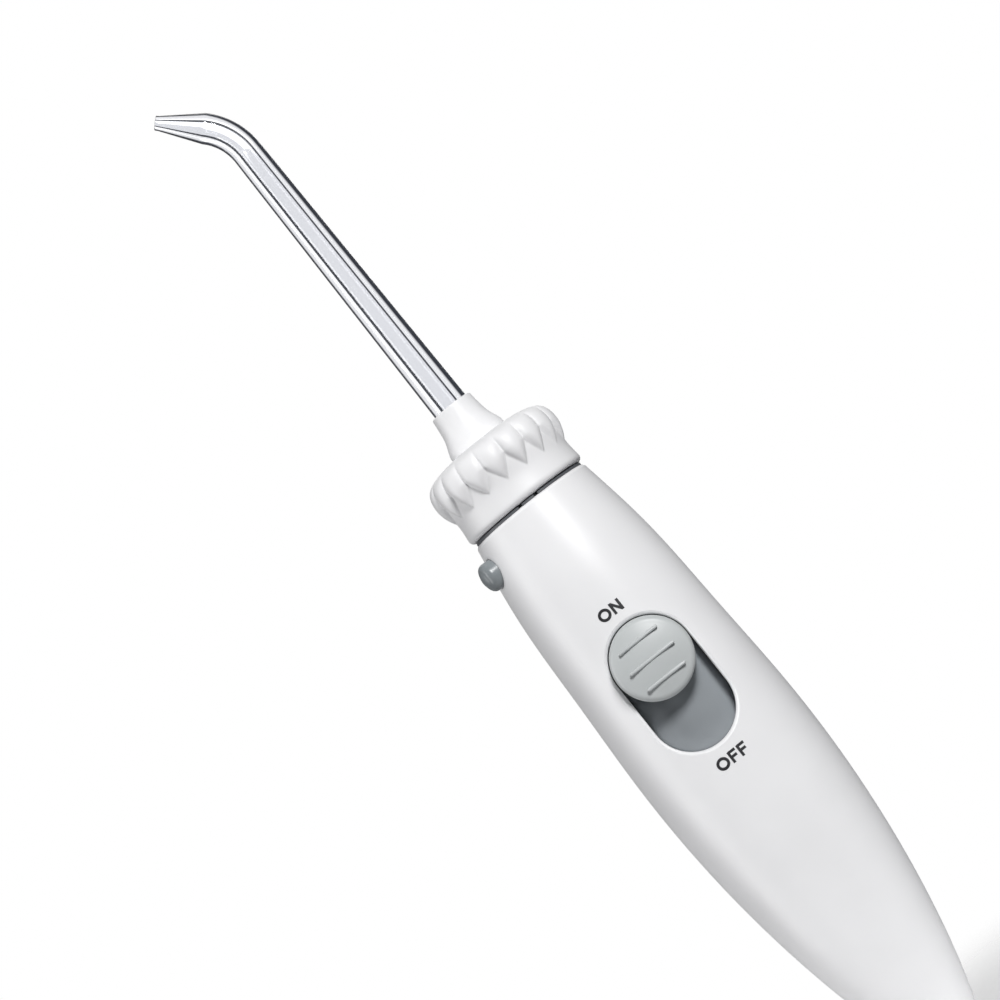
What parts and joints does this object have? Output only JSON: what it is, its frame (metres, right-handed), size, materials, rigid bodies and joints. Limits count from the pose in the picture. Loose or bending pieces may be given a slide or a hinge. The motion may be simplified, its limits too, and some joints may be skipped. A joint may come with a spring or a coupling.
{
  "type": "water flosser handpiece",
  "caption": "Handpiece of a countertop water flosser: bent clear jet tip, fluted turning knob, round-bodied grip with a slide switch over a hose pinch valve, and a tip eject button.",
  "frame": {"origin": "middle of the hose opening at the tail of the grip", "axes": "+Z runs along the grip from the hose end to the jet tip, -Y is the front with the slide switch, and -X is the side of the eject button and the bent nozzle"},
  "size_m": [0.0316, 0.0335, 0.2128],
  "materials": {
    "white_abs": "gloss",
    "light_grey_abs": "satin",
    "plate_grey_abs": "satin",
    "mid_grey_abs": "satin",
    "dark_grey_acetal": "matte",
    "natural_acetal": "matte",
    "clear_polycarbonate": "clear gloss",
    "blue_marker": "gloss",
    "black_rubber": "matte",
    "silicone": "matte",
    "steel": "brushed"
  },
  "bodies": {
    "handle": {"front_casing": "white_abs", "rear_casing": "white_abs", "hose_gland": "white_abs", "gland_seal": "black_rubber", "inlet_barb": "natural_acetal", "inner_hose": "silicone", "hose_clamps": "steel", "outlet_fitting": "natural_acetal", "tip_seal": "black_rubber", "neck_spigot": "dark_grey_acetal", "knob_clip": "steel", "tip_latch": "steel", "eject_spring": "steel", "valve_chassis": "natural_acetal", "chassis_screws": "steel", "lever_pin": "steel"},
    "knob": {"rotation_knob": "white_abs", "tip_holder": "white_abs", "holder_seal": "black_rubber", "thrust_washer": "natural_acetal"},
    "tip": {"jet_tip": "clear_polycarbonate", "tip_band": "blue_marker"},
    "eject": {"eject_button": "mid_grey_abs", "eject_plunger": "natural_acetal"},
    "switch": {"thumb_button": "light_grey_abs", "slide_plate": "plate_grey_abs", "slide_carrier": "natural_acetal"},
    "lever": {"pinch_lever": "natural_acetal"}
  },
  "joints": [
    {"name": "knob_turn", "type": "hinge", "parent": "handle", "child": "knob", "pos_m": [0, 0, 0.126], "axis": [0, 0, 1], "continuous": true},
    {"name": "tip_pull", "type": "slide", "parent": "knob", "child": "tip", "axis": [0, 0, 1], "range_m": [0, 0.04], "deforming": ["tip_latch"]},
    {"name": "eject_press", "type": "slide", "parent": "handle", "child": "eject", "axis": [0.9455, 0.3256, 0], "range_m": [0, 0.0017], "stiffness_N_per_m": 300, "springref_m": -0.002, "deforming": ["eject_spring", "tip_latch"]},
    {"name": "switch_slide", "type": "slide", "parent": "handle", "child": "switch", "axis": [0, 0, -1], "range_m": [0, 0.0103], "deforming": ["inner_hose"]},
    {"name": "lever_tilt", "type": "hinge", "parent": "handle", "child": "lever", "pos_m": [0, -0.0048, 0.0935], "axis": [1, 0, 0], "range_deg": [0, 10.4], "deforming": ["inner_hose"]}
  ],
  "couplings": [
    {"joint": "lever_tilt", "follows": "switch_slide", "rad_per_m": 17.573}
  ]
}
